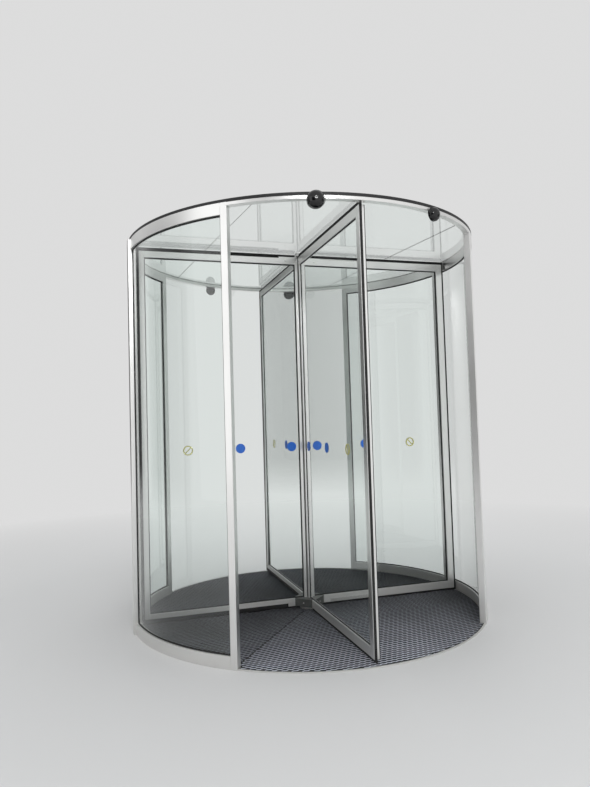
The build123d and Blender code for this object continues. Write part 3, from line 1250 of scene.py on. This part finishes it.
@dataclass
class TurningWing:
    """One wing: finishes of its solids, glazing gaskets, film signs and screws."""

    sizes: DoorSizes
    shop: Workshop
    wing: Wing
    gasket_face: float = 0.006
    gasket_proud: float = 0.003
    gasket_smooth_deg: float = 30.0
    sign_r: float = 0.037
    sign_t: float = 0.0004
    sign_z: float = 1.271
    sign_steps: int = 48
    sign_places: Tuple[float, ...] = (0.111, 0.525)
    warning_x: float = 0.93
    warning_inner: float = 0.78
    warning_bar: float = 0.09
    foot_screws: Tuple[float, ...] = (0.158,)
    head_screws: Tuple[float, ...] = (0.042, 0.126)
    head_screw_drop: float = 0.035

    def dress(self) -> None:
        """Gives the wing's solids their finishes."""
        rail = "steel_" + self.wing.grain.value
        coats = {"rails": rail, "stiles": "steel_z", "glass": "glass", "seals": "rubber"}
        for part, paint in coats.items():
            self.shop.dress(paint, f"{self.wing.label}_wing_{part}")

    def _fit(self, solids: Solids, ending: str, slot: str, paint: str, smooth_deg: float = 0.0) -> None:
        """Turns forms drawn along +X to this wing's place and registers them as one piece.

        Args:
            solids: The forms.
            ending: End of the piece's name.
            slot: Name of a material slot, handed on to register.
            paint: Key of the material.
            smooth_deg: Angle up to which edges are shaded smooth.
        """
        turn = self.wing.turn()
        solids.points = [tuple(turn @ Vector(point)) for point in solids.points]
        piece = solids.piece(f"{self.wing.label}_wing_{ending}", smooth_deg)
        self.shop.register(piece, WINGS, slot, paint)

    def build_gaskets(self) -> None:
        """Frames the pane with a gasket on both faces."""
        s = self.sizes
        frame_in = Solids()
        low, high = s.wing_low + s.rail_h, s.wing_high - s.rail_h
        f, p = self.gasket_face, self.gasket_proud
        section = [(0.0, 0.0), (f, 0.0), (f, p * GASKET_TIP), (f * GASKET_SHOULDER, p), (0.0, p)]
        for way in BOTH_WAYS:
            side = Vector((0.0, way, 0.0))
            y = way * s.wing_glass_t / 2
            corners = [(x, y, z) for x, z in oblong(s.inner_stile_out, s.stile_inner_x, low, high)]
            for first, last in zip(corners, corners[1:] + corners[:1]):
                run = Vector(last) - Vector(first)
                inwards = Vector((0.0, 1.0, 0.0)).cross(run) * -1.0
                sign = 1.0 if side.cross(run).dot(inwards) > 0 else -1.0
                frame_in.bar([(sign * u, v) for u, v in section], first, last, side)
        self._fit(frame_in, "gaskets", "black_rubber", "gasket", self.gasket_smooth_deg)

    def _sign_place(self, x: float, way: float) -> Matrix:
        """Place of a film on one face of the pane, at hand height."""
        return facing((x, way * self.sizes.wing_glass_t / 2, self.sign_z), (0.0, way, 0.0))

    def build_sign(self) -> None:
        """Sticks two plain blue discs on each face of the pane at hand height."""
        signs = Solids()
        for way in BOTH_WAYS:
            for x in self.sign_places:
                signs.disc(self.sign_r, self.sign_t, self._sign_place(x, way), self.sign_steps)
        self._fit(signs, "signs", "clear_glass", "blue")

    def build_warning(self) -> None:
        """Sticks a pale yellow ring with a slanting bar on each face of the pane."""
        mark = Solids()
        inner, half = self.sign_r * self.warning_inner, self.sign_r * self.warning_bar
        reach = inner * math.sqrt(0.5)
        for way in BOTH_WAYS:
            y = way * self.sizes.wing_glass_t / 2
            place = self._sign_place(self.warning_x, way)
            mark.ring(oblong(inner, self.sign_r, 0.0, self.sign_t), place, self.sign_steps)
            start = (self.warning_x - reach, y, self.sign_z + reach)
            end = (self.warning_x + reach, y, self.sign_z - reach)
            mark.bar(oblong(-half, half, 0.0, self.sign_t), start, end, Vector((0.0, way, 0.0)))
        self._fit(mark, "ring_sign", "clear_glass", "yellow")

    def mark_screws(self, screws: ScrewHeads) -> None:
        """Marks the screws in the hub ends of both rails, on both faces.

        Args:
            screws: Collects the marks.
        """
        s = self.sizes
        turn = self.wing.turn()
        seats = [(x, s.wing_low + s.rail_h / 2) for x in self.foot_screws]
        seats += [(x, s.wing_high - self.head_screw_drop) for x in self.head_screws]
        for x, level in seats:
            for way in BOTH_WAYS:
                place = turn @ Vector((x, way * (s.wing_t / 2 + screws.head_h / 2), level))
                screws.mark(WINGS, place, turn.to_3x3() @ Vector((0.0, way, 0.0)))


@dataclass
class Hub:
    """Shaft and foot hub, with the bolts on the hub's slanting faces."""

    sizes: DoorSizes
    shop: Workshop

    def dress(self) -> None:
        """Gives the hub's solids their finishes."""
        self.shop.dress("hub", "foot_hub")
        self.shop.dress("shaft", "central_shaft")

    def mark_screws(self, screws: ScrewHeads) -> None:
        """Marks one bolt in the middle of each slanting face.

        Args:
            screws: Collects the marks.
        """
        s = self.sizes
        face_r = (s.hub_reach + s.wing_t / 2) / math.sqrt(2.0)
        for wing in Wing:
            degrees = wing.value + 45.0 + WINGS_REST_DEG
            place = polar(face_r + screws.head_h / 2, degrees, s.wing_low + s.rail_h / 2)
            screws.mark(WINGS, place, polar(1.0, degrees, 0.0))


@dataclass
class Sensors:
    """Domed sensors with their seating rings."""

    sizes: DoorSizes
    shop: Workshop
    nodes: Tuple[str, ...] = ("front_sensor", "front_side_sensor", "rear_sensor", "rear_side_sensor")
    ring_t: float = 0.004
    ring_proud: float = 0.0015
    ring_lap: float = 0.002
    ring_bevel: float = 0.25
    ring_steps: int = 56
    smooth_deg: float = 30.0
    base: float = 0.026
    side_base: float = 0.018

    def dress(self) -> None:
        """Gives the domes their finish."""
        self.shop.dress("sensor", *self.nodes)

    def build(self) -> None:
        """Puts a thin ring where each dome meets its base."""
        t, e = self.ring_t, self.ring_t * self.ring_bevel
        for node in self.nodes:
            low, high = Vector(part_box(node)[0]), Vector(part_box(node)[1])
            middle = (low + high) / 2
            radius = (high.z - low.z) / 2
            base = self.side_base if "side" in node else self.base
            degrees = math.degrees(math.atan2(middle.y, middle.x))
            seat = polar(self.sizes.drum_r + base - t / 2, degrees, middle.z)
            edge, inner = radius + self.ring_proud, radius - self.ring_lap
            section = [(inner, 0.0), (edge - e, 0.0), (edge, e), (edge, t - e), (edge - e, t), (inner, t)]
            ring = Solids()
            ring.ring(section, facing(seat, polar(1, degrees, 0)), self.ring_steps)
            piece = ring.piece(node + "_ring", self.smooth_deg)
            self.shop.register(piece, DRUM, "sensor_black", "trim")


@dataclass
class Bearings:
    """Screws round the flange of the floor bearing."""

    count: int = 6
    circle: float = 0.8
    first_deg: float = 15.0
    sunk: float = 0.2

    def mark_screws(self, screws: ScrewHeads) -> None:
        """Marks the screws of the flange.

        Args:
            screws: Collects the marks.
        """
        low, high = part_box("floor_bearing")
        ring_r = (high[0] - low[0]) / 2 * self.circle
        for number in range(self.count):
            degrees = 360.0 * number / self.count + self.first_deg
            place = polar(ring_r, degrees, high[2] - screws.head_h * self.sunk)
            screws.mark(DRUM, place, Vector((0.0, 0.0, 1.0)))


def grey(level: float) -> Colour:
    """Neutral colour of one level."""
    return (level, level, level, 1.0)


@dataclass
class Studio:
    """Pale floor, soft light and the camera at the photograph's place."""

    eye: Point = (-2.0774, -4.6585, 1.4437)
    yaw_deg: float = 23.287
    pitch_deg: float = 2.807
    roll_deg: float = -1.683
    focal_px: float = 635.05
    frame_h_px: float = 787.0
    sensor_mm: float = 36.0
    view_end: float = 200.0
    floor_reach: float = 60.0
    floor_drop: float = 0.0005
    floor_grey: float = 0.63
    patch_grey: float = 0.58
    floor_roughness: float = 0.7
    daylight: Colour = (0.97, 0.99, 1.0, 1.0)
    daylight_strength: float = 0.62
    sky_grey: float = 0.72
    front_grey: float = 0.95
    sky_gain: float = 1.15
    sky_cut: float = 0.1
    card_grey: float = 0.03
    card_fades: Tuple[float, float] = (5.0, 8.0)
    near_floor: float = 2.6
    far_floor: float = 7.0

    def build(self) -> None:
        """Makes everything round the door."""
        self._floor()
        self._world()
        self._lamps()
        self._cards()
        self._camera()
        bpy.context.scene.view_settings.view_transform = "Standard"

    @staticmethod
    def _plane(name: str, place: Matrix, width: float, height: float) -> bpy.types.Object:
        """Makes a flat stage piece on the XY plane of a place, with a UV map over all of it.

        Args:
            name: The object's name.
            place: Its middle and the way that it faces.
            width: Size along the place's X axis.
            height: Size along the place's Y axis.

        Returns:
            The new object.
        """
        mesh = bpy.data.meshes.new(name)
        corners = oblong(-0.5, 0.5, -0.5, 0.5)
        points = [tuple(place @ Vector((u * width, v * height, 0.0))) for u, v in corners]
        mesh.from_pydata(points, [], [(0, 1, 2, 3)])
        across = mesh.uv_layers.new(name="across")
        for loop, (u, v) in zip(across.data, corners):
            loop.uv = (u + 0.5, v + 0.5)
        plane = in_scene(name, mesh)
        return plane

    def _floor(self) -> None:
        """Pale level floor, which fades into the sky far off."""
        reach = self.floor_reach
        floor = self._plane("studio_floor", Matrix.Translation((0.0, 0.0, -self.floor_drop)), reach, reach)
        skin = Skin("studio_floor")
        tone = skin.mixed(skin.noise(0.6, 3.0) * 0.1, grey(self.floor_grey), grey(self.patch_grey))
        sockets = {"Base Color": tone, "Roughness": self.floor_roughness}
        laid = skin.make("ShaderNodeBsdfPrincipled", None, sockets)
        x, y, _ = skin.axes()
        radius = x.with_side(y)
        glow = self._sky(skin, "ShaderNodeEmission", y / radius)
        away = ((radius - self.near_floor) / (self.far_floor - self.near_floor)).clamped()
        floor.data.materials.append(skin.close(skin.blended(away * self._seen(skin), laid, glow)))

    def _sky(self, maker: NodeMaker, kind: str, north: Term) -> Term:
        """The shown sky, which brightens evenly from the back to the front.

        Args:
            maker: The tree that it is made in.
            kind: Type of the shining nodes.
            north: How far a direction points to the back.

        Returns:
            The mixed shader.
        """
        levels = (self.sky_grey, self.front_grey)
        back, front = (maker.make(kind, None, {"Color": grey(level)}) for level in levels)
        return maker.blended((north * -self.sky_gain - self.sky_cut).clamped(), back, front)

    @staticmethod
    def _seen(maker: NodeMaker) -> Term:
        """Tells looking from lighting.

        Args:
            maker: The tree that it is made in.

        Returns:
            1 where the camera looks, straight, through glass or by a reflection, else 0.
        """
        path = maker.make("ShaderNodeLightPath")
        seen = path.out("Is Camera Ray") + path.out("Is Glossy Ray") + path.out("Is Transmission Ray")
        return seen.clamped()

    def _world(self) -> None:
        """Even daylight on the door, with the shown sky where the camera looks."""
        world = bpy.data.worlds.new("studio")
        bpy.context.scene.world = world
        world.use_nodes = True
        maker = NodeMaker(world.node_tree)
        world.node_tree.nodes.clear()
        sockets = {"Color": self.daylight, "Strength": self.daylight_strength}
        glow = maker.make("ShaderNodeBackground", None, sockets)
        north = maker.split(maker.make("ShaderNodeTexCoord").out("Generated"))[1]
        shown = self._sky(maker, "ShaderNodeBackground", north)
        mixed = maker.blended(self._seen(maker), glow, shown)
        maker.make("ShaderNodeOutputWorld", None, {"Surface": mixed})

    def _lamps(self) -> None:
        """Large soft lamps on four sides, and a small one for a crisp highlight on gloss."""
        plans = (
            ("key", (2.9, -7.6, 2.7), (0.0, 0.0, 1.4), (9.0, 5.4), 145.0),
            ("fill", (-6.6, -2.4, 2.9), (0.0, 0.0, 1.5), (4.2, 5.4), 44.0),
            ("top", (0.0, 0.0, 6.5), (0.0, 0.0, 0.0), (7.0, 7.0), 210.0),
            ("back", (4.0, 7.0, 3.4), (0.0, 0.0, 1.3), (5.5, 5.0), 100.0),
            ("spark", (-1.6, -6.3, 4.2), (0.0, 0.0, 2.2), (1.2, 0.6), 65.0),
        )
        for name, place, target, (width, height), power in plans:
            data = bpy.data.lights.new(name, "AREA")
            data.shape = "RECTANGLE"
            data.size, data.size_y = width, height
            data.energy = power
            lamp = in_scene(name + "_lamp", data)
            aim = (Vector(target) - Vector(place)).to_track_quat("-Z", "Y")
            lamp.matrix_world = Matrix.Translation(place) @ aim.to_matrix().to_4x4()
            lamp.visible_camera = False
            lamp.visible_transmission = False
            lamp.visible_glossy = name in ("fill", "spark")

    def _cards(self) -> None:
        """Soft-edged dark cards that show in reflections alone, for contrast in steel and glass."""
        skin = Skin("studio_card")
        u, v, _ = skin.split(skin.make("ShaderNodeUVMap"))
        fades = zip((u, v), self.card_fades)
        from_side, from_end = ((across * (1 - across) * fade).clamped() for across, fade in fades)
        mirrored = skin.make("ShaderNodeLightPath").out("Glossy Depth").clamped() * (from_side * from_end)
        clear = skin.make("ShaderNodeBsdfTransparent")
        dark = skin.make("ShaderNodeBsdfDiffuse", None, {"Color": grey(self.card_grey)})
        skin.close(skin.blended(mirrored, clear, dark))
        plans = (
            ("card_left", (-6.5, 2.6, 2.35), (1.0, -0.3, 0.0), 5.4, 4.7),
            ("card_front", (-5.4, -6.2, 2.5), (0.72, 0.70, 0.0), 7.2, 5.0),
            ("card_right", (7.5, -4.0, 2.4), (-1.0, 0.5, 0.0), 3.2, 4.8),
            ("card_back", (-2.8, 7.6, 2.6), (0.3, -0.9, 0.0), 6.4, 5.2),
        )
        for name, place, out, width, height in plans:
            card = self._plane(name, facing(place, out), width, height)
            card.data.materials.append(skin.material)
            card.visible_camera = False

    def _camera(self) -> None:
        """Camera solved from the ring, rails and posts in the photograph."""
        yaw, pitch, roll = (math.radians(v) for v in (self.yaw_deg, self.pitch_deg, self.roll_deg))
        ahead = Vector((math.sin(yaw) * math.cos(pitch), math.cos(yaw) * math.cos(pitch), math.sin(pitch)))
        level = Vector((math.cos(yaw), -math.sin(yaw), 0.0))
        over = level.cross(ahead)
        right = level * math.cos(roll) + over * math.sin(roll)
        up = over * math.cos(roll) - level * math.sin(roll)
        data = bpy.data.cameras.new("camera")
        data.sensor_fit = "AUTO"
        data.sensor_width = self.sensor_mm
        data.lens = self.focal_px / self.frame_h_px * self.sensor_mm
        data.clip_end = self.view_end
        camera = in_scene("camera", data)
        turn = Matrix((right, up, -ahead)).transposed().to_4x4()
        camera.matrix_world = Matrix.Translation(self.eye) @ turn
        bpy.context.scene.camera = camera


def main() -> None:
    """Builds and dresses the door, then the studio."""
    logging.basicConfig(level=logging.INFO, format="%(name)s: %(message)s")
    shop = Workshop(Paintbox())
    sizes = DoorSizes()
    drum = DrumFrame(sizes, shop)
    drum.dress()
    drum.build()
    GlassCeiling(sizes, shop).build()
    EntranceMat(sizes, shop).build()
    sensors = Sensors(sizes, shop)
    sensors.dress()
    sensors.build()
    screws = ScrewHeads(shop)
    hub = Hub(sizes, shop)
    hub.dress()
    hub.mark_screws(screws)
    Bearings().mark_screws(screws)
    fringe = BrushFringe(sizes, shop)
    fringe_tree = fringe.tree()
    for wing in Wing:
        leaf = TurningWing(sizes, shop, wing)
        leaf.dress()
        leaf.build_gaskets()
        leaf.build_sign()
        leaf.build_warning()
        leaf.mark_screws(screws)
        fringe.build(wing, fringe_tree)
    screws.build()
    Studio().build()


if __name__ == "__main__":
    main()
